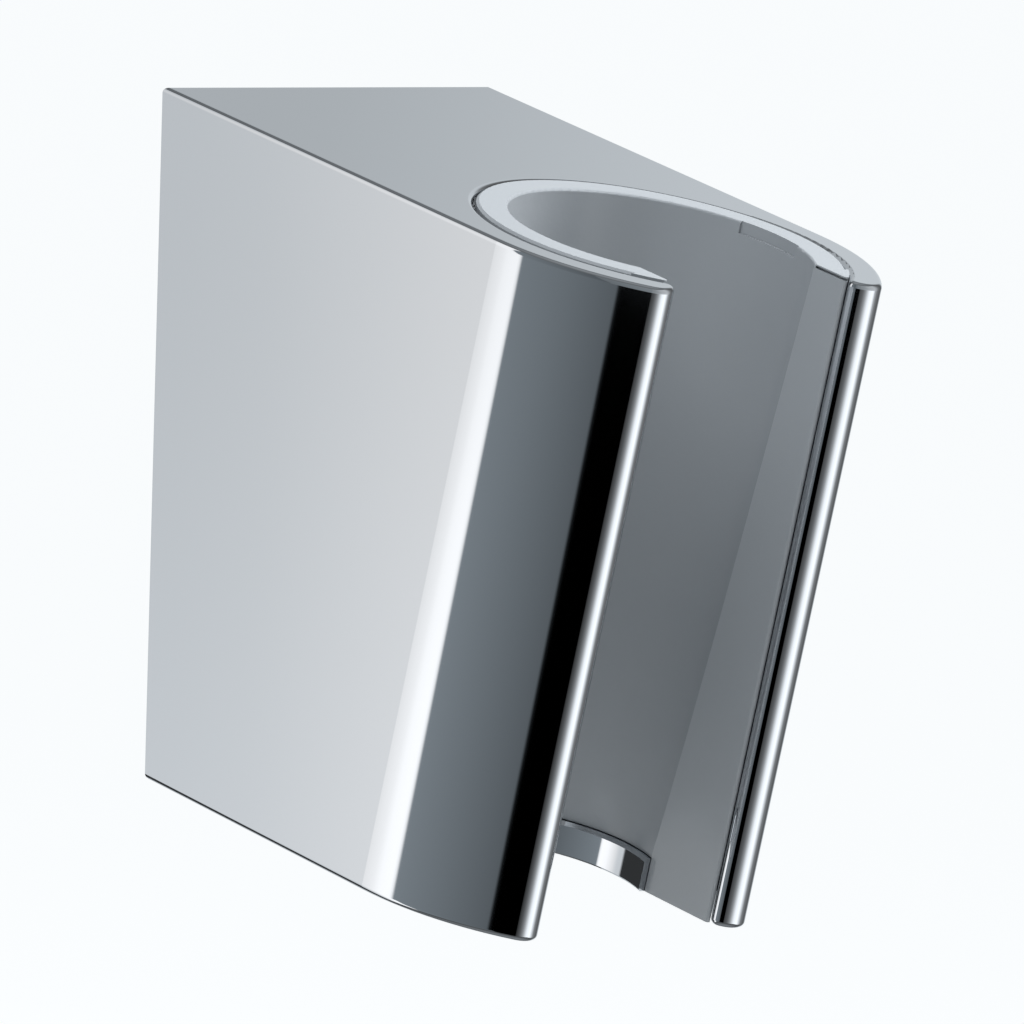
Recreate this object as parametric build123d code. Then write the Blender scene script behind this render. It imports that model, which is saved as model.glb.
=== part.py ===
"""Wall holder for a hand shower: leaning housing, conical seat liner and hidden wall bracket.

The frame's origin is the middle of the back, on the wall plane. X runs along the wall, -Y points
into the room and +Z is up. All sizes are in millimetres.

Most forms follow the lean of the body, so they are drawn in a leaning frame: its x is X, its y
runs forwards along the sloping top, and its z is the depth below the top, along the bore.
"""
import math
import os

from build123d import *

# Bore that carries the hose nut, and the walls round it
bore_top_radius = 12.5
bore_foot_radius = 10.4
liner_rim_wall = 2.75
liner_clearance = 0.05
lip_thickness = 2.7

# Housing, outside
wall_height = 56.2
lean_deg = 14.6
bore_reach = 41.2
crease_radius = 0.45

# Housing, front slot and foot flange
slot_half_width = 9.8
lip_outer_radius = 1.7
lip_inner_radius = 0.8
flange_thickness = 2.8
flange_step = 0.5
flange_end_reach = 3.8
flange_seat_chamfer = 0.3
flange_foot_chamfer = 0.15

# Housing, open back
side_wall = 2.5
top_wall = 2.5
foot_wall = 2.5
socket_wall = 2.0
cavity_reach = 31.0
rib_thickness = 1.6
rib_spacing = 18.0
hook_rib_thickness = 2.0

# Liner
cheek_corner_radius = 0.25
rim_stand = 0.12
rim_radius = 0.2
shadow_gap = 0.2
shadow_gap_depth = 1.2
shadow_gap_reach = 9.4
recess_depth = 0.2
recess_height = 1.1
recess_below_rim = 1.0
recess_from_deg = 75.0
recess_to_deg = 106.0
notch_depth = 0.6
notch_height = 0.8
notch_deg = 1.3
groove_width = 0.2
groove_depth = 0.4
groove_inset = 0.12

# Snap that keeps the liner down
snap_width = 6.0
snap_height = 2.6
snap_ledge = 0.6
snap_rise = 0.9
snap_drop = 14.0
snap_clearance = 0.3

# Wall plate
plate_thickness = 3.0
plate_clearance = 0.3
plate_corner_radius = 1.5
wall_hole_radius = 2.25
wall_hole_spacing = 24.0
wall_hole_chamfer = 0.4
hook_width = 13.0
hook_shelf_drop = 9.4
hook_shelf_thickness = 2.0
hook_gap = 0.3
hook_lip_thickness = 2.0
hook_lip_height = 3.2
tab_width = 13.0
tab_drop = 45.2
tab_thickness = 2.4
tab_past_screw = 3.4
gusset_thickness = 1.6
gusset_height = 5.0

# Lock screw, its insert and boss
screw_radius = 2.0
screw_length = 8.0
screw_tip_length = 1.0
screw_tip_radius = 0.9
screw_standoff = 5.8
screw_fit = 0.04
screw_hole_clearance = 0.3
hex_across_flats = 2.0
hex_depth = 2.2
insert_radius = 2.9
insert_length = 5.0
insert_groove_depth = 0.35
insert_groove_width = 0.9
insert_fit = 0.02
boss_wall = 1.3
boss_gap = 1.6
dimple_depth = 0.9

# Pieces that rest on each other lie this far apart
seat_gap = 0.05

# Worked out from the sizes above
lean = math.radians(lean_deg)
top_z = wall_height / 2
body_depth = wall_height * math.cos(lean)
liner_radius = bore_top_radius + liner_rim_wall
socket_radius = liner_radius + liner_clearance
front_radius = socket_radius + lip_thickness
body_width = 2 * front_radius
lip_middle = slot_half_width + lip_outer_radius
lip_angle = math.asin(lip_middle / (front_radius - lip_outer_radius))
flange_bore_radius = bore_foot_radius - flange_step
liner_foot = body_depth - flange_thickness - seat_gap
cheek_slant = math.asin(slot_half_width / bore_top_radius)
cavity_half_width = front_radius - side_wall
socket_back_radius = socket_radius + socket_wall
bore_taper = (bore_top_radius - bore_foot_radius) / body_depth
far = 4 * wall_height
cavity_top_z = top_z - top_wall / math.cos(lean)
cavity_foot_z = -top_z + foot_wall / math.cos(lean)
rib_back = plate_thickness + plate_clearance
shelf_top_z = top_z - hook_shelf_drop
hook_rib_back = plate_thickness + hook_gap
hook_rib_front = hook_rib_back + hook_rib_thickness
hook_lip_back = hook_rib_front + hook_gap
hook_lip_front = hook_lip_back + hook_lip_thickness
tab_top_z = top_z - tab_drop
tab_foot_z = tab_top_z - tab_thickness
boss_radius = insert_radius + boss_wall
boss_top_z = tab_foot_z - boss_gap
screw_tip_z = tab_foot_z + dimple_depth - seat_gap
screw_foot_z = screw_tip_z - screw_length

leaning = Plane(
    origin=(0, 0, top_z),
    x_dir=(1, 0, 0),
    z_dir=(0, math.sin(lean), -math.cos(lean)),
)


def on_body(shape):
    """Move a shape from the leaning frame to the part's own frame."""
    return leaning.location * shape


def room_side(shape):
    """The part of a shape that lies in front of the wall plane."""
    return shape & Pos(0, -far / 2, 0) * Box(2 * far, far, 2 * far)


def side_view(x_middle):
    """Plane seen from the side: its x is the frame's Y and its y is the frame's Z."""
    return Plane(origin=(x_middle, 0, 0), x_dir=(0, 1, 0), z_dir=(1, 0, 0))


def upright_box(x_size, forwards_from, forwards_to, z_from, z_to, x_middle=0.0):
    """Upright box between two distances in front of the wall."""
    box = Box(x_size, forwards_to - forwards_from, z_to - z_from)
    return Pos(x_middle, -(forwards_from + forwards_to) / 2, (z_from + z_to) / 2) * box


def upright_cylinder(radius, z_from, z_to):
    """Vertical cylinder on the lock screw's axis."""
    return Pos(0, -screw_standoff, (z_from + z_to) / 2) * Cylinder(radius, z_to - z_from)


def upright_cone(foot_radius, top_radius, z_from, z_to):
    """Vertical cone on the lock screw's axis."""
    cone = Cone(foot_radius, top_radius, z_to - z_from)
    return Pos(0, -screw_standoff, (z_from + z_to) / 2) * cone


def bore_cylinder(radius, depth_from, depth_to):
    """Cylinder on the bore's axis, in the leaning frame."""
    middle = (depth_from + depth_to) / 2
    return Pos(0, bore_reach, middle) * Cylinder(radius, depth_to - depth_from)


def bore_cone(growth=0.0):
    """The tapering bore run past both its ends, in the leaning frame."""
    past = flange_thickness
    top = bore_top_radius + bore_taper * past + growth
    foot = bore_foot_radius - bore_taper * past + growth
    return Pos(0, bore_reach, body_depth / 2) * Cone(top, foot, body_depth + 2 * past)


def body_outline():
    """Plan of the housing: straight sides that run into a half-round front."""
    length = bore_reach + wall_height
    sides = Pos(0, bore_reach - length / 2) * Rectangle(body_width, length)
    return sides + Pos(0, bore_reach) * Circle(front_radius)


def slot_wedge():
    """Wedge that opens the socket in front and leaves a flat end on each lip."""
    point = bore_reach + lip_outer_radius / math.sin(lip_angle)
    reach = 2 * front_radius
    across = reach * math.tan(lip_angle)
    return Polygon((0, point), (across, point + reach), (-across, point + reach), align=None)


def body_plan():
    """Plan of the housing with its socket, slot and rounded lips."""
    plan = body_outline() - Pos(0, bore_reach) * Circle(socket_radius) - slot_wedge()
    plan = fillet(plan.vertices().sort_by(Axis.Y)[-4:-2], lip_inner_radius)
    return fillet(plan.vertices().sort_by(Axis.Y)[-2:], lip_outer_radius)


def behind_wall():
    """Everything behind the wall plane, in the leaning frame."""
    return leaning.location.inverse() * Pos(0, far, 0) * Box(2 * far, 2 * far, 2 * far)


def make_flange():
    """Inward flange at the foot that the liner stands on, open in front for the liner's feet."""
    outside = Circle(socket_radius + lip_thickness / 2)
    ring = Pos(0, bore_reach) * (outside - Circle(flange_bore_radius))
    ring &= Pos(0, bore_reach + flange_end_reach - far / 2) * Rectangle(far, far)
    return Pos(0, 0, body_depth - flange_thickness) * extrude(ring, flange_thickness)


def flange_bore_edges(shell):
    """Arcs round the foot flange's bore, from the seat downwards."""
    arcs = shell.edges().filter_by(GeomType.CIRCLE)
    slack = crease_radius / 4
    return arcs.filter_by(lambda edge: abs(edge.radius - flange_bore_radius) < slack).sort_by(Axis.Z)


def make_shell():
    """Outside of the housing with its socket, slot, lips and foot flange."""
    shell = extrude(body_plan(), body_depth) - behind_wall()
    slack = crease_radius / 4
    creases = shell.edges().filter_by_position(Axis.Z, -slack, slack)
    creases += shell.edges().filter_by_position(Axis.Z, body_depth - slack, body_depth + slack)
    shell = fillet(creases, crease_radius) + make_flange()
    foot_edge = flange_bore_edges(shell)[-1]
    shell = chamfer(foot_edge, flange_foot_chamfer)
    seat_edge = flange_bore_edges(shell)[0]
    return on_body(chamfer(seat_edge, flange_seat_chamfer))


def make_cavity():
    """Hollow behind the socket, open towards the wall."""
    width = 2 * cavity_half_width
    depth = body_depth - top_wall - foot_wall
    hollow = Pos(0, cavity_reach - far / 2, top_wall + depth / 2) * Box(width, far, depth)
    hollow -= bore_cylinder(socket_back_radius, 0, body_depth)
    return room_side(on_body(hollow))


def make_cavity_features():
    """Stiffening ribs, the rib that hangs on the hook, and the lock screw's boss."""
    features = upright_box(
        2 * cavity_half_width, hook_rib_back, hook_rib_front, shelf_top_z + seat_gap, top_z
    )
    for side in (-1, 1):
        middle = side * rib_spacing / 2
        features += upright_box(rib_thickness, rib_back, far, -far, far, middle)
    return features + upright_cylinder(boss_radius, -far, boss_top_z)


def make_snap_window():
    """Window in the socket's back wall for the liner's snap."""
    width = snap_width + 2 * snap_clearance
    height = snap_height + 2 * snap_clearance
    forwards = bore_reach - socket_radius - socket_wall / 2
    middle = snap_drop + snap_height / 2
    return on_body(Pos(0, forwards, middle) * Box(width, 2 * socket_wall, height))


def make_housing():
    """Chrome-plated moulding that carries the liner."""
    cavity = make_cavity()
    insert_foot_z = boss_top_z - insert_length
    housing = make_shell() - (cavity - (make_cavity_features() & cavity))
    housing -= make_snap_window()
    housing -= upright_cylinder(insert_radius + insert_fit, insert_foot_z, boss_top_z + boss_gap)
    return housing - upright_cylinder(screw_radius + screw_hole_clearance, -far, boss_top_z)


def make_snap():
    """Ramped snap on the liner's back: flat above, sloping below."""
    root = bore_reach - liner_radius
    inside = root + liner_clearance + snap_rise
    tip = root - snap_rise
    profile = Polygon(
        (inside, snap_drop),
        (tip, snap_drop),
        (tip, snap_drop + snap_ledge),
        (root, snap_drop + snap_height),
        (inside, snap_drop + snap_height),
        align=None,
    )
    return extrude(side_view(0) * profile, snap_width / 2, both=True)


def bore_pocket(side, from_deg, to_deg, height, depth):
    """Pocket in the bore's wall under the rim, between two angles from the front."""
    reach = 2 * front_radius
    corners = [(0, bore_reach)]
    for angle_deg in (from_deg, to_deg):
        angle = math.radians(angle_deg)
        corners.append((side * reach * math.sin(angle), bore_reach + reach * math.cos(angle)))
    sector = extrude(Polygon(*corners, align=None), height)
    return bore_cone(depth) & Pos(0, 0, recess_below_rim - rim_stand) * sector


def make_recess(side):
    """Shallow finger recess with a deep, narrow notch at its front end, on one side of the bore."""
    recess = bore_pocket(side, recess_from_deg, recess_to_deg, recess_height, recess_depth)
    notch_to_deg = recess_from_deg + notch_deg
    return recess + bore_pocket(side, recess_from_deg, notch_to_deg, notch_height, notch_depth)


def make_cheek_groove():
    """Fine groove that outlines both cheeks, beside the bore and under the rim."""
    width = 2 * (slot_half_width + groove_depth)
    ahead = bore_reach + far / 2
    top = groove_inset - rim_stand
    under_rim = Pos(0, ahead, top + groove_width / 2) * Box(width, far, groove_width)
    below_rim = Pos(0, ahead, top + far / 2) * Box(width, far, far)
    growth = groove_inset + groove_width * math.cos(cheek_slant)
    beside_bore = bore_cone(growth) & below_rim
    return under_rim + beside_bore - bore_cone(groove_inset)


def make_shadow_gap():
    """Relief round the liner's rim that parts it from the chrome, behind the cheeks."""
    inside = liner_radius - shadow_gap
    bevel_middle = rim_radius / 2 - rim_stand
    bevel = Pos(0, bore_reach, bevel_middle) * Cone(inside - rim_radius, inside, rim_radius)
    gap = bore_cylinder(front_radius, -rim_stand, shadow_gap_depth)
    gap -= bevel + bore_cylinder(inside, rim_radius - rim_stand, shadow_gap_depth)
    return gap & Pos(0, bore_reach + shadow_gap_reach - far / 2, 0) * Box(far, far, far)


def bore_rim(liner):
    """The arcs where the bore meets the liner's top."""
    slack = rim_radius / 4
    edges = liner.edges().filter_by_position(Axis.Z, -rim_stand - slack, slack - rim_stand)
    arcs = edges.filter_by(GeomType.CIRCLE)
    return arcs.filter_by(lambda edge: abs(edge.radius - bore_top_radius) < slack)


def make_liner():
    """Satin liner: a tapering C with a cheek beside the slot and feet past the flange."""
    feet = bore_cylinder(liner_radius, liner_foot, body_depth)
    feet_back = bore_reach + flange_end_reach + seat_gap
    feet &= Pos(0, feet_back + far / 2, 0) * Box(far, far, far)
    liner = bore_cylinder(liner_radius, -rim_stand, liner_foot) + feet
    slot = Box(2 * slot_half_width, far, far)
    liner -= Pos(0, bore_reach + far / 2, 0) * slot
    corners = liner.edges().filter_by(Axis.Z).group_by(Axis.Y)[-1]
    liner = fillet(corners, cheek_corner_radius)
    liner -= bore_cone()
    liner = fillet(bore_rim(liner), rim_radius)
    liner -= make_shadow_gap() + make_cheek_groove()
    for side in (-1, 1):
        liner -= make_recess(side)
    return on_body(liner + make_snap())


def make_gusset(x_middle, z_corner, forwards, upwards):
    """Triangular web between the wall plate and a shelf on it."""
    back = plate_thickness / 2
    profile = Polygon(
        (-back, z_corner),
        (-forwards, z_corner),
        (-back, z_corner + upwards),
        align=None,
    )
    return extrude(side_view(x_middle) * profile, gusset_thickness / 2, both=True)


def make_wall_plate():
    """Bracket screwed to the wall, with the hook above and the lock screw's tab below."""
    plate_top_z = cavity_top_z - plate_thickness * math.tan(lean) - plate_clearance
    plate_foot_z = cavity_foot_z + plate_clearance
    width = 2 * (cavity_half_width - plate_clearance)
    middle_z = (plate_top_z + plate_foot_z) / 2
    outline = RectangleRounded(width, plate_top_z - plate_foot_z, plate_corner_radius)
    plate = extrude(Plane.XZ * Pos(0, middle_z) * outline, plate_thickness)
    notch_half_width = boss_radius + plate_clearance
    notch_top_z = boss_top_z + plate_clearance
    plate -= upright_box(2 * notch_half_width, -plate_thickness, far, -far, notch_top_z)
    tab_front = screw_standoff + tab_past_screw
    shelf_foot_z = shelf_top_z - hook_shelf_thickness
    lip_top_z = shelf_top_z + hook_lip_height
    plate += upright_box(hook_width, 0, hook_lip_front, shelf_foot_z, shelf_top_z)
    plate += upright_box(hook_width, hook_lip_back, hook_lip_front, shelf_foot_z, lip_top_z)
    plate += upright_box(tab_width, 0, tab_front, tab_foot_z, tab_top_z)
    for side in (-1, 1):
        hook_side = side * (hook_width - gusset_thickness) / 2
        tab_side = side * (tab_width - gusset_thickness) / 2
        plate += make_gusset(hook_side, shelf_foot_z, hook_lip_front, -gusset_height)
        plate += make_gusset(tab_side, tab_top_z, tab_front, gusset_height)
        hole = Plane.XZ * Pos(0, side * wall_hole_spacing / 2)
        chamfer_foot = Pos(0, 0, plate_thickness - wall_hole_chamfer / 2)
        chamfer_cone = Cone(wall_hole_radius, wall_hole_radius + wall_hole_chamfer, wall_hole_chamfer)
        plate -= hole * Cylinder(wall_hole_radius, 2 * plate_thickness + 1)
        plate -= hole * chamfer_foot * chamfer_cone
    tip_slope = (screw_radius - screw_tip_radius) / screw_tip_length
    dimple_top_radius = screw_tip_radius + screw_fit
    dimple_foot_radius = dimple_top_radius + tip_slope * dimple_depth
    dimple_top_z = tab_foot_z + dimple_depth
    return plate - upright_cone(dimple_foot_radius, dimple_top_radius, tab_foot_z, dimple_top_z)


def make_lock_screw():
    """Hex socket set screw with a cone point, pointing up."""
    shoulder_z = screw_tip_z - screw_tip_length
    screw = upright_cylinder(screw_radius, screw_foot_z, shoulder_z)
    screw += upright_cone(screw_radius, screw_tip_radius, shoulder_z, screw_tip_z)
    hexagon = RegularPolygon(hex_across_flats / 2, 6, major_radius=False)
    socket = Pos(0, -screw_standoff, screw_foot_z) * extrude(hexagon, hex_depth)
    return screw - socket


def make_thread_insert():
    """Brass sleeve pressed into the boss, with a locking groove round its middle."""
    insert_foot_z = boss_top_z - insert_length
    middle_z = (boss_top_z + insert_foot_z) / 2
    half_groove = insert_groove_width / 2
    sleeve = upright_cylinder(insert_radius, insert_foot_z, boss_top_z)
    waist = upright_cylinder(insert_radius, middle_z - half_groove, middle_z + half_groove)
    waist -= upright_cylinder(insert_radius - insert_groove_depth, insert_foot_z, boss_top_z)
    return sleeve - waist - upright_cylinder(screw_radius + screw_fit, -far, far)


def main():
    """Build each piece and write it to its own file."""
    os.makedirs("parts", exist_ok=True)
    pieces = {
        "housing": make_housing(),
        "seat_liner": make_liner(),
        "wall_plate": make_wall_plate(),
        "thread_insert": make_thread_insert(),
        "lock_screw": make_lock_screw(),
    }
    for name, piece in pieces.items():
        export_step(piece, f"parts/{name}.step")


main()
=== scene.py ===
"""Looks of a wall holder for a hand shower: chrome housing, satin liner, bracket, insert and lock screw.

All lengths are in metres. X runs along the wall, -Y points into the room and +Z is up. The origin
is the middle of the holder's back, on the wall plane. Azimuths are in degrees, 0 in front of the
holder (-Y) and positive towards +X. A brightness of 1 is white.
"""

import logging
import math
from dataclasses import dataclass, field
from enum import Enum, IntEnum

import bpy
from mathutils import Matrix, Vector

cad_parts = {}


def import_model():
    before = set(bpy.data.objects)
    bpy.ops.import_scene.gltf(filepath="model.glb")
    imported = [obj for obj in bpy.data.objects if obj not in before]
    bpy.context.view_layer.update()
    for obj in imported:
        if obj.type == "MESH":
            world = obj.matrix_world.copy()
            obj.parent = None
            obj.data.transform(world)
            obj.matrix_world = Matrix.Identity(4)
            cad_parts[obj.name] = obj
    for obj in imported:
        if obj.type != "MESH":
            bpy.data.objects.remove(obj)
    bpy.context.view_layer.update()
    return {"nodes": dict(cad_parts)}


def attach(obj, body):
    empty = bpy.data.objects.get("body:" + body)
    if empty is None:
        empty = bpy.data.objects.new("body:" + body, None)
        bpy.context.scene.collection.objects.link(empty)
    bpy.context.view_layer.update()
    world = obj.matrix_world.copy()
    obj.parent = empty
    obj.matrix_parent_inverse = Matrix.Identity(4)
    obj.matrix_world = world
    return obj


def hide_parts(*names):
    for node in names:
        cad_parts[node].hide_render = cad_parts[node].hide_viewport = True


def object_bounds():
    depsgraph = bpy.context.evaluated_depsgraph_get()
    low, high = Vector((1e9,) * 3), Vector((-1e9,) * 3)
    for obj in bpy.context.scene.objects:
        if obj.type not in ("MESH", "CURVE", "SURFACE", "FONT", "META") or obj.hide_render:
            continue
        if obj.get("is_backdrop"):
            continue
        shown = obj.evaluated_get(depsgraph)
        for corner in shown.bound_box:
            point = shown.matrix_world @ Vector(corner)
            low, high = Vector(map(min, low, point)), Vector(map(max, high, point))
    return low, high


LOG = logging.getLogger("holder")
MM = 0.001
# How far a cutting tool reaches past what it cuts.
PAST = 1.0 * MM
# Distance under which two heights or radii count as one.
TOUCH = 0.01 * MM
# Distance under which a thread's doubled corners are merged.
WELD = 0.001 * MM
# Least upright part of the normal of a flat end.
FLAT_END = 0.9
# Faces that meet at more than this angle keep a sharp edge.
SHARP_EDGE = math.radians(28.0)
BLACK = (0.0, 0.0, 0.0)
WHITE = (1.0, 1.0, 1.0)

Colour = tuple[float, float, float]


class MixSocket(IntEnum):
    """Places of the sockets that a Mix node has for colours."""

    FACTOR = 0
    FIRST = 6
    SECOND = 7
    RESULT = 2


class Cut(Enum):
    """What is kept of a piece and a tool that cross."""

    SHARED = "INTERSECT"
    REST = "DIFFERENCE"


class Signal:
    """A shader socket that builds Math nodes when it is used in an expression."""

    def __init__(self, recipe: "Recipe", socket: bpy.types.NodeSocket) -> None:
        """Wrap one output socket of a recipe's nodes."""
        self.recipe = recipe
        self.socket = socket

    def _math(self, operation: str, *values: "Signal | float") -> "Signal":
        """Add a Math node.

        Args:
            operation: The Math node's operation.
            values: Signals or numbers for its inputs, in order.

        Returns:
            The node's result.
        """
        return self.recipe.node("ShaderNodeMath", {"operation": operation}, dict(enumerate(values)))

    def __add__(self, other: "Signal | float") -> "Signal":
        """Sum."""
        return self._math("ADD", self, other)

    def __radd__(self, other: float) -> "Signal":
        """Sum with a number on the left."""
        return self._math("ADD", other, self)

    def __sub__(self, other: "Signal | float") -> "Signal":
        """Difference."""
        return self._math("SUBTRACT", self, other)

    def __rsub__(self, other: float) -> "Signal":
        """Difference from a number on the left."""
        return self._math("SUBTRACT", other, self)

    def __mul__(self, other: "Signal | float") -> "Signal":
        """Product."""
        return self._math("MULTIPLY", self, other)

    def __rmul__(self, other: float) -> "Signal":
        """Product with a number on the left."""
        return self._math("MULTIPLY", other, self)

    def __truediv__(self, other: "Signal | float") -> "Signal":
        """Quotient."""
        return self._math("DIVIDE", self, other)

    def __neg__(self) -> "Signal":
        """Opposite sign."""
        return self._math("MULTIPLY", self, -1.0)

    def atan2(self, other: "Signal") -> "Signal":
        """Angle whose tangent is this over the other, in radians."""
        return self._math("ARCTAN2", self, other)

    def maximum(self, other: "Signal | float") -> "Signal":
        """The larger of the two."""
        return self._math("MAXIMUM", self, other)

    def smooth(self, low: float, high: float) -> "Signal":
        """Ease from 0 to 1.

        Args:
            low: Value where the result is 0.
            high: Value where the result is 1.

        Returns:
            The eased value.
        """
        values = {"Value": self, "From Min": low, "From Max": high}
        return self.recipe.node("ShaderNodeMapRange", {"interpolation_type": "SMOOTHSTEP"}, values)


class Recipe:
    """One material's or the world's nodes."""

    def __init__(self, owner: bpy.types.Material | bpy.types.World) -> None:
        """Empty the owner's node tree and keep it.

        Args:
            owner: The material or world that the nodes belong to.
        """
        owner.use_nodes = True
        self.tree = owner.node_tree
        self.tree.nodes.clear()
        is_world = isinstance(owner, bpy.types.World)
        self.output_kind = "ShaderNodeOutputWorld" if is_world else "ShaderNodeOutputMaterial"

    def node(
        self, kind: str, settings: dict | None = None, values: dict | None = None, out: int | str = 0,
    ) -> Signal:
        """Add a node.

        Args:
            kind: The node's type.
            settings: Its properties, and its ramp's stops under "stops".
            values: Numbers, colours or signals for its inputs, by name or place.
            out: Name or place of the output to return.

        Returns:
            The chosen output.
        """
        made = self.tree.nodes.new(kind)
        for name, value in (settings or {}).items():
            if name == "stops":
                self._set_stops(made.color_ramp, value)
            else:
                setattr(made, name, value)
        for name, value in (values or {}).items():
            if isinstance(value, Signal):
                self.tree.links.new(value.socket, made.inputs[name])
            else:
                made.inputs[name].default_value = value
        return Signal(self, made.outputs[out])

    @staticmethod
    def _set_stops(ramp: bpy.types.ColorRamp, stops: list[tuple[float, Colour]]) -> None:
        """Give a ramp its stops.

        Args:
            ramp: The node's colour ramp.
            stops: Place and colour of each stop, from left to right.
        """
        while len(ramp.elements) > 1:
            ramp.elements.remove(ramp.elements[-1])
        for index, (place, colour) in enumerate(stops):
            element = ramp.elements[0] if index == 0 else ramp.elements.new(place)
            element.position = place
            element.color = (*colour, 1.0)

    def place(self) -> Signal:
        """Object coordinates of the shaded point."""
        return self.node("ShaderNodeTexCoord", out="Object")

    def axis(self, vector: Signal, name: str) -> Signal:
        """One of the X, Y and Z parts of a vector."""
        return self.node("ShaderNodeSeparateXYZ", values={0: vector}, out=name)

    def noise(self, scale: float, detail: float = 2.0, roughness: float = 0.5) -> Signal:
        """Noise about 0.5 over the object.

        Args:
            scale: Waves per metre.
            detail: Number of octaves.
            roughness: Share of the finer octaves.

        Returns:
            The noise, from 0 to 1.
        """
        values = {"Vector": self.place(), "Scale": scale, "Detail": detail, "Roughness": roughness}
        return self.node("ShaderNodeTexNoise", values=values)

    def bump(self, height: Signal, depth: float) -> Signal:
        """Normal of a surface with small hills.

        Args:
            height: Height from 0 to 1.
            depth: Metres between 0 and 1.

        Returns:
            The bent normal.
        """
        return self.node("ShaderNodeBump", values={"Height": height, "Distance": depth, "Strength": 1.0})

    def blend(self, factor: Signal, low: Signal | Colour, high: Signal | Colour) -> Signal:
        """Colour between two colours.

        Args:
            factor: 0 for the first colour, 1 for the second.
            low: First colour.
            high: Second colour.

        Returns:
            The mixed colour.
        """
        values = {MixSocket.FACTOR: factor}
        for place, colour in ((MixSocket.FIRST, low), (MixSocket.SECOND, high)):
            values[place] = colour if isinstance(colour, Signal) else (*colour, 1.0)
        return self.node("ShaderNodeMix", {"data_type": "RGBA"}, values, MixSocket.RESULT)

    def surface(self, **values: object) -> None:
        """Finish the material with a Principled surface.

        Args:
            values: Its inputs, with underscores for the spaces in their names.
        """
        named = {name.replace("_", " "): value for name, value in values.items()}
        self.output(self.node("ShaderNodeBsdfPrincipled", values=named))

    def glow_alone(self, colour: Signal, strength: float) -> None:
        """Finish the material with a black surface that only glows.

        Args:
            colour: Colour of its light.
            strength: Brightness where the colour is white.
        """
        self.surface(
            Base_Color=(*BLACK, 1.0),
            Specular_IOR_Level=0.0,
            Emission_Color=colour,
            Emission_Strength=strength,
        )

    def output(self, shader: Signal) -> None:
        """Send a shader to the owner's output."""
        made = self.tree.nodes.new(self.output_kind)
        self.tree.links.new(shader.socket, made.inputs["Surface"])


@dataclass(frozen=True)
class Chrome:
    """Bright chrome plating over a moulding, with the faint waviness of plated plastic.

    Attributes:
        colour: Colour of what it reflects.
        roughness: Least roughness.
        haze: Most that the haze adds to the roughness.
        haze_scale: Patches of haze per metre.
        wave_scale: Waves per metre.
        wave_depth: Height of the waves.
    """

    colour: Colour = (0.585, 0.6, 0.62)
    roughness: float = 0.035
    haze: float = 0.02
    haze_scale: float = 35.0
    wave_scale: float = 90.0
    wave_depth: float = 0.4e-6

    def material(self) -> bpy.types.Material:
        """Build the finish."""
        made = bpy.data.materials.new("chrome_plating")
        recipe = Recipe(made)
        haze = recipe.noise(self.haze_scale, detail=3.0)
        waves = recipe.noise(self.wave_scale, detail=1.0)
        recipe.surface(
            Base_Color=(*self.colour, 1.0),
            Metallic=1.0,
            Roughness=self.roughness + self.haze * haze,
            Normal=recipe.bump(waves, self.wave_depth),
        )
        return made


@dataclass(frozen=True)
class Moulded:
    """Satin moulded plastic with a fine spark-eroded grain.

    Attributes:
        name: The material's name.
        colour: Darker of its two close shades.
        tint: Lighter of its two close shades.
        roughness: Least roughness.
        cloud: Most that the clouds add to the roughness.
        cloud_scale: Clouds of shade per metre.
        grain_scale: Grains per metre.
        grain_depth: Height of the grain.
        grain_fineness: Share of the grain's finer octaves.
    """

    name: str
    colour: Colour
    tint: Colour
    roughness: float
    cloud: float = 0.06
    cloud_scale: float = 60.0
    grain_scale: float = 2600.0
    grain_depth: float = 8.0e-6
    grain_fineness: float = 0.6

    def material(self) -> bpy.types.Material:
        """Build the finish."""
        made = bpy.data.materials.new(self.name)
        recipe = Recipe(made)
        cloud = recipe.noise(self.cloud_scale, detail=3.0)
        grain = recipe.noise(self.grain_scale, detail=3.0, roughness=self.grain_fineness)
        recipe.surface(
            Base_Color=recipe.blend(cloud, self.colour, self.tint),
            Roughness=self.roughness + self.cloud * cloud,
            Normal=recipe.bump(grain, self.grain_depth),
        )
        return made


@dataclass(frozen=True)
class Turned:
    """Turned metal with fine rings round a vertical axis.

    Attributes:
        name: The material's name.
        colour: Colour of what it reflects.
        roughness: Least roughness.
        wear: Most that wear adds to the roughness.
        wear_scale: Patches of wear per metre.
        ring_scale: Rings per metre of height.
        ring_depth: Height of the rings.
    """

    name: str
    colour: Colour
    roughness: float
    wear: float = 0.12
    wear_scale: float = 700.0
    ring_scale: float = 9000.0
    ring_depth: float = 1.5e-6

    def material(self) -> bpy.types.Material:
        """Build the finish."""
        made = bpy.data.materials.new(self.name)
        recipe = Recipe(made)
        values = {"W": recipe.axis(recipe.place(), "Z"), "Scale": self.ring_scale}
        rings = recipe.node("ShaderNodeTexNoise", {"noise_dimensions": "1D"}, values)
        recipe.surface(
            Base_Color=(*self.colour, 1.0),
            Metallic=1.0,
            Roughness=self.roughness + self.wear * recipe.noise(self.wear_scale),
            Normal=recipe.bump(rings, self.ring_depth),
        )
        return made


@dataclass(frozen=True)
class Paper:
    """Tone of lit paper.

    Attributes:
        coolness: 0 for neutral paper, 1 for bluish paper.
        red_loss: Share of red that the coolest paper lacks.
        blue_gain: Share of blue that the coolest paper adds.
    """

    coolness: float
    red_loss: float = 0.12
    blue_gain: float = 0.09

    def colour(self, brightness: float) -> Colour:
        """Its colour at a brightness."""
        red = brightness * (1.0 - self.red_loss * self.coolness)
        blue = brightness * (1.0 + self.blue_gain * self.coolness)
        return red, brightness, blue


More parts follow.
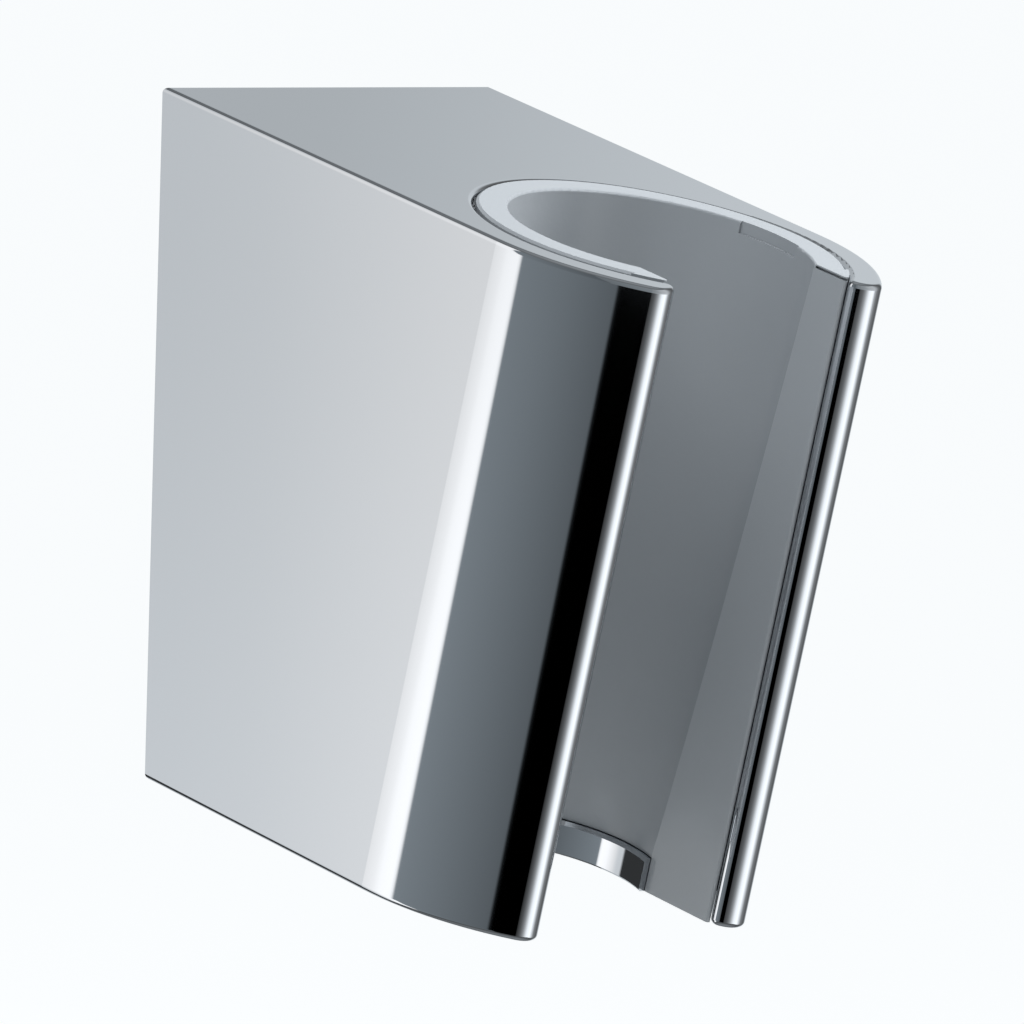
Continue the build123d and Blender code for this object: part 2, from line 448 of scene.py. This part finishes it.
@dataclass(frozen=True)
class Panel:
    """One panel of the light tent's wall.

    Attributes:
        start: Azimuth where it starts, in degrees.
        end: Azimuth where it ends, in degrees.
        first: Brightness at its start.
        last: Brightness at its end.
        coolness: 0 for a neutral panel, 1 for a bluish one.
    """

    start: float
    end: float
    first: float
    last: float
    coolness: float = 0.3


@dataclass
class LightTent:
    """Round screen of bright and dark panels that only reflections see.

    Attributes:
        radius: Radius of the wall.
        forwards: Distance of its axis from the holder's wall plane.
        foot: Height of its lower end.
        top: Height of its upper end.
        sides: Number of the wall's flat strips.
        full_brightness: Brightness of the wall where its colour is 1.
        dimmer_below: Height below which the wall is not dimmed.
        dimmer_above: Height above which it is dimmed fully.
        dimming: Share of light that the full dimming takes.
        lid_glow: Brightness at the lid's middle and edge.
        foot_glow: Brightness at the foot sheet's middle and edge.
        end_paper: Paper of the lid and the foot sheet.
        panels: The wall's panels, from left to right.
        upper_panels: The panels above the flag, from left to right.
        upper_foot: Height where they start right of the flag's corner.
        upper_fade: Angle over which they fade in at the left, in degrees.
        flag_azimuth: Azimuth of the dark flag's corner.
        flag_rise: How far the flag's top rises to the left, in metres in a full turn.
        edge_blur: Height over which the flag's top edge fades.
    """

    radius: float = 0.35
    forwards: float = 0.033
    foot: float = -0.295
    top: float = 0.40
    sides: int = 96
    full_brightness: float = 2.0
    dimmer_below: float = -0.075
    dimmer_above: float = 0.01
    dimming: float = 0.12
    lid_glow: tuple[float, float] = (0.38, 0.18)
    foot_glow: tuple[float, float] = (0.30, 0.10)
    end_paper: Paper = Paper(0.5)
    panels: tuple[Panel, ...] = (
        Panel(-180.0, -146.0, 0.05, 0.05),
        Panel(-143.5, -138.5, 0.96, 0.98),
        Panel(-133.5, -125.0, 1.25, 1.62, 0.0),
        Panel(-121.0, -117.0, 1.66, 1.66, 0.0),
        Panel(-115.5, -64.6, 0.33, 0.17, 1.0),
        Panel(-63.2, -43.0, 0.0, 0.0),
        Panel(-36.0, -28.0, 0.09, 0.17),
        Panel(-22.0, -16.0, 0.24, 0.34),
        Panel(-10.0, -4.0, 0.48, 0.69),
        Panel(1.0, 7.0, 0.92, 1.2),
        Panel(13.0, 34.0, 1.48, 1.78),
        Panel(44.0, 54.0, 1.3, 0.75),
        Panel(64.0, 90.0, 0.32, 0.14),
        Panel(98.0, 104.0, 0.22, 0.30),
        Panel(116.0, 128.0, 0.87, 0.88, 0.5),
        Panel(137.0, 164.0, 0.66, 0.66, 0.5),
    )
    upper_panels: tuple[Panel, ...] = (
        Panel(-66.0, -46.0, 0.26, 0.34, 0.8),
        Panel(-30.0, -10.0, 0.42, 0.55, 0.5),
        Panel(10.0, 40.0, 0.75, 0.85),
        Panel(54.0, 64.0, 0.6, 0.32),
    )
    upper_foot: float = -0.127
    upper_fade: float = 1.4
    flag_azimuth: float = -46.0
    flag_rise: float = 0.52
    edge_blur: float = 0.004

    def build(self) -> None:
        """Make the wall, the lid and the sheet at the foot."""
        bpy.ops.mesh.primitive_cylinder_add(
            vertices=self.sides, radius=self.radius, depth=self.top - self.foot, end_fill_type="NOTHING",
            location=(0.0, -self.forwards, (self.top + self.foot) / 2),
        )
        self._hang("tent_wall", self._wall_material())
        ends = (("tent_lid", self.top, self.lid_glow), ("tent_foot", self.foot, self.foot_glow))
        for name, height, glow in ends:
            middle = (0.0, -self.forwards, height)
            bpy.ops.mesh.primitive_circle_add(
                vertices=self.sides, radius=self.radius, fill_type="NGON", location=middle,
            )
            self._hang(name, self._end_material(name, middle, glow))

    @staticmethod
    def _hang(name: str, material: bpy.types.Material) -> None:
        """Finish the active object as a sheet that only reflections see.

        Args:
            name: The sheet's name.
            material: Its glow.
        """
        sheet = bpy.context.active_object
        sheet.name = name
        bpy.ops.object.transform_apply(location=True, rotation=True, scale=True)
        sheet.data.materials.append(material)
        for seen_by in ("camera", "diffuse", "transmission", "volume_scatter", "shadow"):
            setattr(sheet, "visible_" + seen_by, False)
        sheet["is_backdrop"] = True

    @staticmethod
    def _turn(azimuth: float) -> float:
        """Azimuth in degrees as a share of the circle, with 0 behind the holder."""
        return azimuth / 360.0 + 0.5

    def _glow(self, recipe: Recipe, turn: Signal, panels: tuple[Panel, ...]) -> Signal:
        """Colour of a row of panels.

        Args:
            recipe: The wall's nodes.
            turn: Share of the circle at the shaded point.
            panels: The row, from left to right.

        Returns:
            The colour, where 1 is the full brightness.
        """
        stops = []
        for panel in panels:
            paper = Paper(panel.coolness)
            for azimuth, glow in ((panel.start, panel.first), (panel.end, panel.last)):
                stops.append((self._turn(azimuth), paper.colour(glow / self.full_brightness)))
        return recipe.node("ShaderNodeValToRGB", {"stops": stops}, {0: turn})

    def _upper_share(self, turn: Signal, height: Signal) -> Signal:
        """Where the wall shows its upper panels.

        Args:
            turn: Share of the circle at the shaded point.
            height: Its height.

        Returns:
            1 on the upper panels and 0 elsewhere, with soft edges.
        """
        rise = self.flag_rise * (turn - self._turn(self.flag_azimuth))
        flag_top = (self.upper_foot - rise).maximum(self.upper_foot)
        above = (height - flag_top).smooth(0.0, self.edge_blur)
        left, right = self.upper_panels[0], self.upper_panels[-1]
        after_left = turn.smooth(self._turn(left.start), self._turn(left.start + self.upper_fade))
        before_right = turn.smooth(self._turn(right.end), self._turn(right.start))
        return above * after_left * before_right

    def _wall_material(self) -> bpy.types.Material:
        """Glow of the panels round the wall, with a second row above the dark flag in front."""
        made = bpy.data.materials.new("tent_wall")
        recipe = Recipe(made)
        point = recipe.place()
        height = recipe.axis(point, "Z")
        forwards = -recipe.axis(point, "Y") - self.forwards
        turn = recipe.axis(point, "X").atan2(forwards) / math.tau + 0.5
        wall = self._glow(recipe, turn, self.panels)
        upper = self._glow(recipe, turn, self.upper_panels)
        glow = recipe.blend(self._upper_share(turn, height), wall, upper)
        shade = self.dimming * height.smooth(self.dimmer_below, self.dimmer_above)
        recipe.glow_alone(recipe.blend(shade, glow, BLACK), self.full_brightness)
        return made

    def _end_material(
        self, name: str, middle: tuple[float, float, float], glow: tuple[float, float],
    ) -> bpy.types.Material:
        """Glow of the sheet at one end, brighter at its middle.

        Args:
            name: The material's name.
            middle: The sheet's middle point.
            glow: Brightness at its middle and at its edge.

        Returns:
            The material.
        """
        made = bpy.data.materials.new(name)
        recipe = Recipe(made)
        values = {0: recipe.place(), 1: middle}
        offset = recipe.node("ShaderNodeVectorMath", {"operation": "SUBTRACT"}, values)
        away = recipe.node("ShaderNodeVectorMath", {"operation": "LENGTH"}, {0: offset}, "Value")
        inner, outer = (self.end_paper.colour(brightness) for brightness in glow)
        recipe.glow_alone(recipe.blend(away.smooth(0.0, self.radius), inner, outer), 1.0)
        return made


@dataclass(frozen=True)
class Lamp:
    """One soft round lamp, aimed at the holder, that reflections don't see.

    Attributes:
        name: The lamp's name.
        azimuth: Where it hangs, in degrees.
        elevation: Its height, in degrees.
        distance: From the point that it shines at.
        size: Its diameter.
        power: Its power, in watts.
    """

    name: str
    azimuth: float
    elevation: float
    distance: float
    size: float
    power: float

    def build(self, aim: Vector) -> None:
        """Add the lamp.

        Args:
            aim: Point that it shines at.
        """
        data = bpy.data.lights.new(self.name, "AREA")
        data.shape = "DISK"
        data.size = self.size
        data.energy = self.power
        lamp = bpy.data.objects.new(self.name, data)
        bpy.context.collection.objects.link(lamp)
        away = direction(self.azimuth, self.elevation)
        lamp.location = aim + self.distance * away
        lamp.rotation_euler = away.to_track_quat("Z", "Y").to_euler()
        lamp.visible_camera = False
        lamp.visible_glossy = False


def direction(azimuth: float, elevation: float) -> Vector:
    """Unit vector towards an azimuth and elevation in degrees."""
    turn, rise = math.radians(azimuth), math.radians(elevation)
    return Vector((math.sin(turn) * math.cos(rise), -math.cos(turn) * math.cos(rise), math.sin(rise)))


@dataclass
class Viewpoint:
    """Camera at the photograph's viewing angle.

    Attributes:
        azimuth: Where it stands, in degrees.
        elevation: Its height, in degrees.
        roll: Turn about its own axis, in degrees.
        distance: From the plane of the aim point.
        aim_right: Aim point right of the top edge's middle.
        aim_down: Aim point below the top edge's middle.
        lens: Focal length, in millimetres.
        sensor: Width of its sensor, in millimetres.
        nearest: Distance from which it sees.
        farthest: Distance up to which it sees.
    """

    azimuth: float = -43.37
    elevation: float = 3.68
    roll: float = 1.58
    distance: float = 1.0665
    aim_right: float = 0.01513
    aim_down: float = 0.03487
    lens: float = 458.6
    sensor: float = 36.0
    nearest: float = 0.05
    farthest: float = 50.0

    def build(self, edge: Vector) -> None:
        """Add the camera and make it the scene's.

        Args:
            edge: Middle of the edge between the holder's top and its back.
        """
        back = direction(self.azimuth, self.elevation)
        level = Vector((0.0, 0.0, 1.0)).cross(back).normalized()
        upright = back.cross(level)
        turn = math.radians(self.roll)
        right = math.cos(turn) * level + math.sin(turn) * upright
        up = math.cos(turn) * upright - math.sin(turn) * level
        data = bpy.data.cameras.new("camera")
        data.lens = self.lens
        data.sensor_width = self.sensor
        data.clip_start = self.nearest
        data.clip_end = self.farthest
        camera = bpy.data.objects.new("camera", data)
        bpy.context.collection.objects.link(camera)
        place = edge + self.aim_right * right - self.aim_down * up + self.distance * back
        turned = Matrix((right, up, back)).transposed().to_4x4()
        camera.matrix_world = Matrix.Translation(place) @ turned
        bpy.context.scene.camera = camera


@dataclass
class Studio:
    """Pale floor, white surroundings, soft lamps, light tent and camera.

    Attributes:
        back_height: Height of the holder's back.
        floor_height: Height of the floor.
        floor_reach: Distance from the middle of the floor to its edges.
        floor_colour: The floor's own colour.
        floor_roughness: Its roughness.
        floor_lift: Light added to the floor where the camera, a mirror or glass looks.
        sky: Light from all round.
        seen_sky: What the camera, a mirror or glass sees there, as pale as the floor.
        lamps: The soft lamps.
        tent: The screen that the chrome reflects.
        viewpoint: The camera.
    """

    back_height: float = 56.2 * MM
    floor_height: float = -0.30
    floor_reach: float = 30.0
    floor_colour: Colour = (0.82, 0.81, 0.79)
    floor_roughness: float = 0.9
    floor_lift: float = 0.555
    sky: Colour = (0.475, 0.51, 0.54)
    seen_sky: Colour = (0.947, 0.965, 0.973)
    lamps: tuple[Lamp, ...] = (
        Lamp("overhead_lamp", 0.0, 75.4, 0.9, 0.3, 3.1),
        Lamp("right_lamp", 70.0, 35.0, 0.9, 0.6, 13.0),
        Lamp("left_lamp", -85.0, 50.0, 0.9, 0.6, 2.7),
    )
    tent: LightTent = field(default_factory=LightTent)
    viewpoint: Viewpoint = field(default_factory=Viewpoint)

    def build(self, lowest: Vector, highest: Vector) -> None:
        """Set up everything around the holder.

        Args:
            lowest: Lowest corner of the holder's box.
            highest: Highest corner of the holder's box.
        """
        bpy.context.scene.view_settings.view_transform = "Standard"
        self._floor()
        self._world()
        middle = (lowest + highest) / 2
        for lamp in self.lamps:
            lamp.build(middle)
        self.tent.build()
        self.viewpoint.build(Vector((0.0, 0.0, self.back_height / 2)))
        panels = len(self.tent.panels) + len(self.tent.upper_panels)
        LOG.info("studio: %d lamps, %d tent panels", len(self.lamps), panels)

    def _floor(self) -> None:
        """Lay the floor."""
        bpy.ops.mesh.primitive_plane_add(size=2 * self.floor_reach, location=(0.0, 0.0, self.floor_height))
        floor = bpy.context.active_object
        floor.name = "floor"
        bpy.ops.object.transform_apply(location=True, rotation=True, scale=True)
        made = bpy.data.materials.new("floor_paper")
        recipe = Recipe(made)
        recipe.surface(
            Base_Color=(*self.floor_colour, 1.0),
            Roughness=self.floor_roughness,
            Specular_IOR_Level=0.0,
            Emission_Color=recipe.blend(self._seen(recipe), BLACK, WHITE),
            Emission_Strength=self.floor_lift,
        )
        floor.data.materials.append(made)
        floor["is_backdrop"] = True

    @staticmethod
    def _seen(recipe: Recipe) -> Signal:
        """1 where the camera, a mirror or glass looks, else 0."""
        camera, glossy, through = (
            recipe.node("ShaderNodeLightPath", out=ray)
            for ray in ("Is Camera Ray", "Is Glossy Ray", "Is Transmission Ray")
        )
        return camera.maximum(glossy).maximum(through)

    def _world(self) -> None:
        """Light from all round, white where it is seen."""
        world = bpy.data.worlds.new("surroundings")
        bpy.context.scene.world = world
        recipe = Recipe(world)
        colour = recipe.blend(self._seen(recipe), self.sky, self.seen_sky)
        recipe.output(recipe.node("ShaderNodeBackground", values={"Color": colour, "Strength": 1.0}))


class Bench:
    """Modelling steps that the turned pieces share."""

    @staticmethod
    def cylinder(
        name: str, radius: float, foot: float, top: float, standoff: float, sides: int = 48,
    ) -> bpy.types.Object:
        """Add an upright cylinder and leave it active.

        Args:
            name: The object's name.
            radius: Its radius.
            foot: Height of its lower end.
            top: Height of its upper end.
            standoff: Distance of its axis from the wall.
            sides: Number of its sides.

        Returns:
            The object, with its origin at the world's.
        """
        bpy.ops.object.select_all(action="DESELECT")
        bpy.ops.mesh.primitive_cylinder_add(
            vertices=sides, radius=radius, depth=top - foot, location=(0.0, -standoff, (foot + top) / 2),
        )
        made = bpy.context.active_object
        made.name = name
        bpy.ops.object.transform_apply(location=True, rotation=True, scale=True)
        return made

    @staticmethod
    def grow_cap(piece: bpy.types.Object, height: float, rise: float, scale: float) -> None:
        """Extrude the flat end at a height and make its outline larger or smaller.

        Args:
            piece: The active object.
            height: Height of the end face.
            rise: How far the end moves up.
            scale: Size of the new end against the old one.
        """
        bpy.ops.object.mode_set(mode="EDIT")
        bpy.ops.mesh.select_mode(type="FACE")
        bpy.ops.mesh.select_all(action="DESELECT")
        bpy.ops.object.mode_set(mode="OBJECT")
        for face in piece.data.polygons:
            face.select = abs(face.center.z - height) < TOUCH and abs(face.normal.z) > FLAT_END
        bpy.ops.object.mode_set(mode="EDIT")
        bpy.ops.mesh.extrude_region_move(TRANSFORM_OT_translate={"value": (0.0, 0.0, rise)})
        middle = sum((corner.co for corner in piece.data.vertices), Vector()) / len(piece.data.vertices)
        centre = (middle.x, middle.y, height + rise)
        bpy.ops.transform.resize(value=(scale, scale, 1.0), center_override=centre)
        bpy.ops.object.mode_set(mode="OBJECT")

    @staticmethod
    def combine(piece: bpy.types.Object, tool: bpy.types.Object, cut: Cut) -> None:
        """Cut a piece with a tool, and delete the tool.

        Args:
            piece: The piece that stays.
            tool: The other solid.
            cut: What is kept of the piece.
        """
        Bench.pick(piece)
        bpy.ops.object.modifier_add(type="BOOLEAN")
        modifier = piece.modifiers[-1]
        modifier.operation = cut.value
        modifier.solver = "EXACT"
        modifier.object = tool
        bpy.ops.object.modifier_apply(modifier=modifier.name)
        bpy.data.objects.remove(tool)

    @staticmethod
    def pick(piece: bpy.types.Object) -> None:
        """Select one piece alone and make it active."""
        bpy.ops.object.select_all(action="DESELECT")
        piece.select_set(True)
        bpy.context.view_layer.objects.active = piece

    @staticmethod
    def finish(piece: bpy.types.Object, material: bpy.types.Material, node: str, slot: str) -> None:
        """Smooth a piece, give it its finish and let it stand for its CAD node.

        Args:
            piece: The finished piece.
            material: Its finish.
            node: The CAD node that it replaces.
            slot: The record's material slot; not used.
        """
        Bench.pick(piece)
        bpy.ops.object.mode_set(mode="EDIT")
        bpy.ops.mesh.select_all(action="SELECT")
        bpy.ops.mesh.normals_make_consistent(inside=False)
        bpy.ops.object.mode_set(mode="OBJECT")
        bpy.ops.object.shade_smooth_by_angle(angle=SHARP_EDGE)
        piece.data.materials.clear()
        piece.data.materials.append(material)
        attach(piece, "root")
        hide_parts(node)
        LOG.info("%s: %d faces", piece.name, len(piece.data.polygons))


@dataclass(frozen=True)
class Thread:
    """M4 thread, with flats at its crests and roots.

    Attributes:
        crest_radius: Radius of its crests.
        depth: Radius of the crests less that of the roots.
        pitch: Rise in one turn.
        steps: Faces in one turn.
        crest_share: Width of a crest against the pitch.
        root_share: Width of a root against the pitch.
    """

    crest_radius: float = 1.97 * MM
    depth: float = 0.4 * MM
    pitch: float = 0.7 * MM
    steps: int = 32
    crest_share: float = 0.14
    root_share: float = 0.22

    def rod(
        self, name: str, foot: float, top: float, standoff: float, growth: float = 0.0,
    ) -> bpy.types.Object:
        """Model a closed threaded rod. Rods on one axis share their turns' heights.

        Args:
            name: The object's name.
            foot: Height of its lower end.
            top: Height of its upper end.
            standoff: Distance of its axis from the wall.
            growth: Added to its radii.

        Returns:
            The rod.
        """
        start = (math.floor(foot / self.pitch) - 1) * self.pitch
        turns = math.ceil((top - start) / self.pitch) + 1
        bpy.ops.object.select_all(action="DESELECT")
        bpy.ops.mesh.primitive_plane_add(size=self.pitch, location=(0.0, 0.0, 0.0))
        rod = bpy.context.active_object
        rod.name = name
        self._draw_turn(start, growth)
        self._sweep(rod, turns)
        bpy.ops.object.mode_set(mode="EDIT")
        bpy.ops.mesh.select_all(action="SELECT")
        bpy.ops.mesh.remove_doubles(threshold=WELD)
        for height, sense in ((foot, -1.0), (top, 1.0)):
            bpy.ops.mesh.select_all(action="SELECT")
            bpy.ops.mesh.bisect(
                plane_co=(0.0, 0.0, height), plane_no=(0.0, 0.0, sense), use_fill=True, clear_outer=True,
            )
        bpy.ops.mesh.select_all(action="SELECT")
        bpy.ops.mesh.normals_make_consistent(inside=False)
        bpy.ops.transform.translate(value=(0.0, -standoff, 0.0))
        bpy.ops.object.mode_set(mode="OBJECT")
        return rod

    def _draw_turn(self, start: float, growth: float) -> None:
        """Draw one pitch of the outline from the active plane's middle.

        Args:
            start: Height where the outline starts.
            growth: Added to its radii.
        """
        flank = (1.0 - self.crest_share - self.root_share) / 2 * self.pitch
        bpy.ops.object.mode_set(mode="EDIT")
        bpy.ops.mesh.select_all(action="SELECT")
        bpy.ops.mesh.merge(type="CENTER")
        bpy.ops.transform.translate(value=(self.crest_radius - self.depth + growth, 0.0, start))
        moves = (
            (0.0, self.root_share * self.pitch), (self.depth, flank),
            (0.0, self.crest_share * self.pitch), (-self.depth, flank),
        )
        for outwards, upwards in moves:
            bpy.ops.mesh.extrude_vertices_move(TRANSFORM_OT_translate={"value": (outwards, 0.0, upwards)})
        bpy.ops.object.mode_set(mode="OBJECT")

    def _sweep(self, profile: bpy.types.Object, turns: int) -> None:
        """Sweep an outline one pitch high up its helix.

        Args:
            profile: The active object.
            turns: Number of turns.
        """
        bpy.ops.object.modifier_add(type="SCREW")
        sweep = profile.modifiers[-1]
        sweep.axis = "Z"
        sweep.angle = math.tau
        sweep.screw_offset = self.pitch
        sweep.iterations = turns
        sweep.steps = self.steps
        sweep.render_steps = self.steps
        sweep.use_normal_calculate = True
        bpy.ops.object.modifier_apply(modifier=sweep.name)


@dataclass(frozen=True)
class LockScrew:
    """Hex socket set screw with a cone point, pointing up.

    Attributes:
        thread: Its thread.
        standoff: Distance of its axis from the wall.
        foot: Height of its lower end.
        shoulder: Height where the point starts.
        top: Height of the point's end.
        tip_share: Size of the point's flat end against the crests.
        foot_chamfer: Chamfer round the lower end.
        hex_across_flats: Width of the hex socket.
        hex_depth: Depth of its flat sides.
        drill_depth: Depth of the drilled cone past them.
        drill_share: Size of the cone's end against the hexagon.
    """

    thread: Thread = Thread()
    standoff: float = 5.8 * MM
    foot: float = -26.65 * MM
    shoulder: float = -19.65 * MM
    top: float = -18.65 * MM
    tip_share: float = 0.45
    foot_chamfer: float = 0.25 * MM
    hex_across_flats: float = 2.0 * MM
    hex_depth: float = 2.2 * MM
    drill_depth: float = 0.45 * MM
    drill_share: float = 0.05

    def build(self, material: bpy.types.Material) -> None:
        """Model the screw.

        Args:
            material: Its finish.
        """
        crest = self.thread.crest_radius
        screw = self.thread.rod("lock_screw_threaded", self.foot - PAST, self.top + PAST, self.standoff)
        chamfer_top = self.foot + self.foot_chamfer
        envelope = Bench.cylinder("screw_envelope", crest, chamfer_top, self.shoulder, self.standoff)
        Bench.grow_cap(envelope, self.shoulder, self.top - self.shoulder, self.tip_share)
        Bench.grow_cap(envelope, chamfer_top, -self.foot_chamfer, 1.0 - self.foot_chamfer / crest)
        Bench.combine(screw, envelope, Cut.SHARED)
        corner = self.hex_across_flats / math.sqrt(3.0)
        hex_top = self.foot + self.hex_depth
        hexagon = Bench.cylinder("screw_socket", corner, self.foot - PAST, hex_top, self.standoff, sides=6)
        Bench.grow_cap(hexagon, hex_top, self.drill_depth, self.drill_share)
        Bench.combine(screw, hexagon, Cut.REST)
        Bench.finish(screw, material, "lock_screw", "screw_steel")


@dataclass(frozen=True)
class ThreadInsert:
    """Knurled brass insert with a locking groove and an inside thread.

    Attributes:
        thread: The lock screw's thread.
        standoff: Distance of its axis from the wall.
        foot: Height of its lower end.
        top: Height of its upper end.
        radius: Radius over the knurls.
        groove_radius: Radius at the foot of the locking groove.
        groove_width: Height of the groove.
        groove_slope: Height of the slope at each of its edges.
        knurls: Number of knurls round it.
        knurl_depth: Depth between them.
        thread_clearance: Room between the two threads.
    """

    thread: Thread = Thread()
    standoff: float = 5.8 * MM
    foot: float = -26.1 * MM
    top: float = -21.1 * MM
    radius: float = 2.9 * MM
    groove_radius: float = 2.55 * MM
    groove_width: float = 0.9 * MM
    groove_slope: float = 0.02 * MM
    knurls: int = 36
    knurl_depth: float = 0.16 * MM
    thread_clearance: float = 0.04 * MM

    def build(self, material: bpy.types.Material) -> None:
        """Model the insert.

        Args:
            material: Its finish.
        """
        middle = (self.foot + self.top) / 2
        height = middle - self.groove_width / 2
        insert = Bench.cylinder(
            "thread_insert_knurled", self.radius, self.foot, height, self.standoff, sides=2 * self.knurls,
        )
        waist = self.groove_radius / self.radius
        steps = (
            (self.groove_slope, waist),
            (self.groove_width - 2 * self.groove_slope, 1.0),
            (self.groove_slope, 1.0 / waist),
            (self.top - middle - self.groove_width / 2, 1.0),
        )
        for rise, scale in steps:
            Bench.grow_cap(insert, height, rise, scale)
            height += rise
        self._knurl(insert)
        foot, top = self.foot - PAST, self.top + PAST
        tap = self.thread.rod("insert_tap", foot, top, self.standoff, growth=self.thread_clearance)
        Bench.combine(insert, tap, Cut.REST)
        Bench.finish(insert, material, "thread_insert", "insert_brass")

    def _knurl(self, insert: bpy.types.Object) -> None:
        """Draw every second outer corner inwards.

        Args:
            insert: The active object.
        """
        bpy.ops.object.mode_set(mode="EDIT")
        bpy.ops.mesh.select_mode(type="VERT")
        bpy.ops.mesh.select_all(action="DESELECT")
        bpy.ops.object.mode_set(mode="OBJECT")
        for corner in insert.data.vertices:
            across, ahead = corner.co.x, corner.co.y + self.standoff
            place = round(math.atan2(ahead, across) / math.tau * 2 * self.knurls)
            corner.select = math.hypot(across, ahead) > self.radius - TOUCH and place % 2 == 1
        bpy.ops.object.mode_set(mode="EDIT")
        share = 1.0 - self.knurl_depth / self.radius
        bpy.ops.transform.resize(value=(share, share, 1.0), center_override=(0.0, -self.standoff, 0.0))
        bpy.ops.object.mode_set(mode="OBJECT")


@dataclass
class Holder:
    """The holder's five pieces and their finishes.

    Attributes:
        chrome: The housing's plating.
        liner: The liner's plastic.
        bracket: The wall plate's plastic.
        brass: The insert's brass.
        steel: The lock screw's steel.
        insert: The insert, with its knurls and thread.
        screw: The lock screw, with its thread.
    """

    chrome: Chrome = Chrome()
    liner: Moulded = Moulded("liner_plastic", (0.288, 0.308, 0.328), (0.308, 0.328, 0.348), 0.2)
    bracket: Moulded = Moulded("bracket_plastic", (0.045, 0.048, 0.052), (0.06, 0.063, 0.067), 0.5)
    brass: Turned = Turned("insert_brass", (0.74, 0.53, 0.24), 0.28)
    steel: Turned = Turned("screw_steel", (0.56, 0.56, 0.55), 0.24)
    insert: ThreadInsert = ThreadInsert()
    screw: LockScrew = LockScrew()

    def dress(self, nodes: dict[str, bpy.types.Object]) -> None:
        """Give each piece its finish, and model the insert and the lock screw.

        Args:
            nodes: The CAD pieces by name.
        """
        self._paint(nodes["housing"], self.chrome)
        self._paint(nodes["seat_liner"], self.liner)
        self._paint(nodes["wall_plate"], self.bracket)
        self.insert.build(self._paint(nodes["thread_insert"], self.brass))
        self.screw.build(self._paint(nodes["lock_screw"], self.steel))

    @staticmethod
    def _paint(piece: bpy.types.Object, finish: Chrome | Moulded | Turned) -> bpy.types.Material:
        """Give a CAD piece its finish.

        Args:
            piece: The piece.
            finish: Its finish.

        Returns:
            The finish's material.
        """
        material = finish.material()
        piece.data.materials.clear()
        piece.data.materials.append(material)
        LOG.info("%s: %s", piece.name, material.name)
        return material


def main() -> None:
    """Dress the holder and set up the studio."""
    logging.basicConfig(level=logging.INFO, format="%(name)s: %(message)s")
    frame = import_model()
    Holder().dress(frame["nodes"])
    bpy.ops.object.select_all(action="DESELECT")
    lowest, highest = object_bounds()
    Studio().build(Vector(lowest), Vector(highest))


if __name__ == "__main__":
    main()
